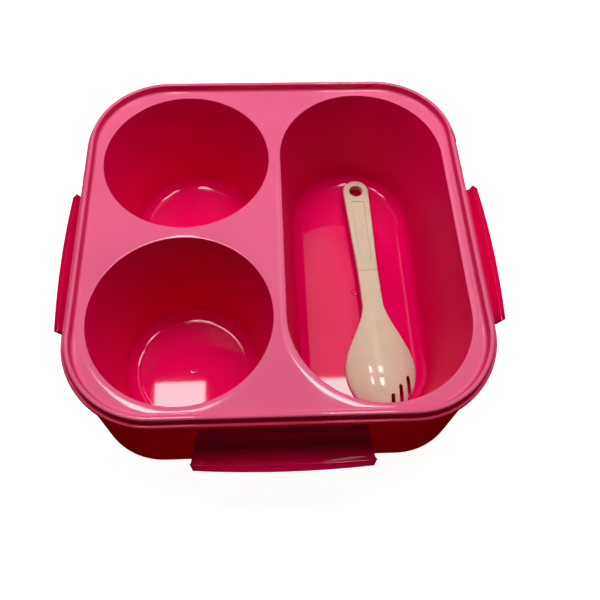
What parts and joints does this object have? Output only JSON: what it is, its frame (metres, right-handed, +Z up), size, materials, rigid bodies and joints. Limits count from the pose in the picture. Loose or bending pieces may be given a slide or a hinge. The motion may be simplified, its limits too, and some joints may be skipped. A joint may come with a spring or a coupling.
{
  "type": "bento lunch box",
  "caption": "Square lunch box with a lift-out tray of round and long wells, swing latches hinged under its rim, and a spork lying in the long well.",
  "frame": {"origin": "middle of the underside of the outer box, on the surface that it stands on", "axes": "+Z up, +Y from the front to the rear, +X towards the side with the long well"},
  "size_m": [0.2287, 0.226, 0.0745],
  "materials": {
    "box_plastic": "gloss moulded polypropylene",
    "tray_plastic": "gloss moulded polypropylene",
    "latch_plastic": "gloss moulded polypropylene",
    "wheat_plastic": "satin moulded plastic with plant fibre"
  },
  "bodies": {
    "box": {"outer_box": "box_plastic"},
    "tray": {"inner_tray": "tray_plastic"},
    "front_latch": {"latch_front": "latch_plastic"},
    "right_latch": {"latch_right": "latch_plastic"},
    "rear_latch": {"latch_rear": "latch_plastic"},
    "left_latch": {"latch_left": "latch_plastic"},
    "spork": {"spork_handle": "wheat_plastic", "spork_head": "wheat_plastic"}
  },
  "joints": [
    {"name": "front_latch_hinge", "type": "hinge", "parent": "box", "child": "front_latch", "pos_m": [0, -0.0982, 0.0633], "axis": [-1, 0, 0], "range_deg": [0, 138]},
    {"name": "right_latch_hinge", "type": "hinge", "parent": "box", "child": "right_latch", "pos_m": [0.0982, 0, 0.0633], "axis": [0, -1, 0], "range_deg": [-9, 129]},
    {"name": "rear_latch_hinge", "type": "hinge", "parent": "box", "child": "rear_latch", "pos_m": [0, 0.0982, 0.0633], "axis": [1, 0, 0], "range_deg": [0, 138]},
    {"name": "left_latch_hinge", "type": "hinge", "parent": "box", "child": "left_latch", "pos_m": [-0.0982, 0, 0.0633], "axis": [0, 1, 0], "range_deg": [0, 138]},
    {"name": "tray_lift", "type": "slide", "parent": "box", "child": "tray", "axis": [0, 0, 1], "range_m": [0, 0.09]},
    {"name": "spork_lift", "type": "slide", "parent": "tray", "child": "spork", "axis": [0, 0, 1], "range_m": [0, 0.1]}
  ]
}
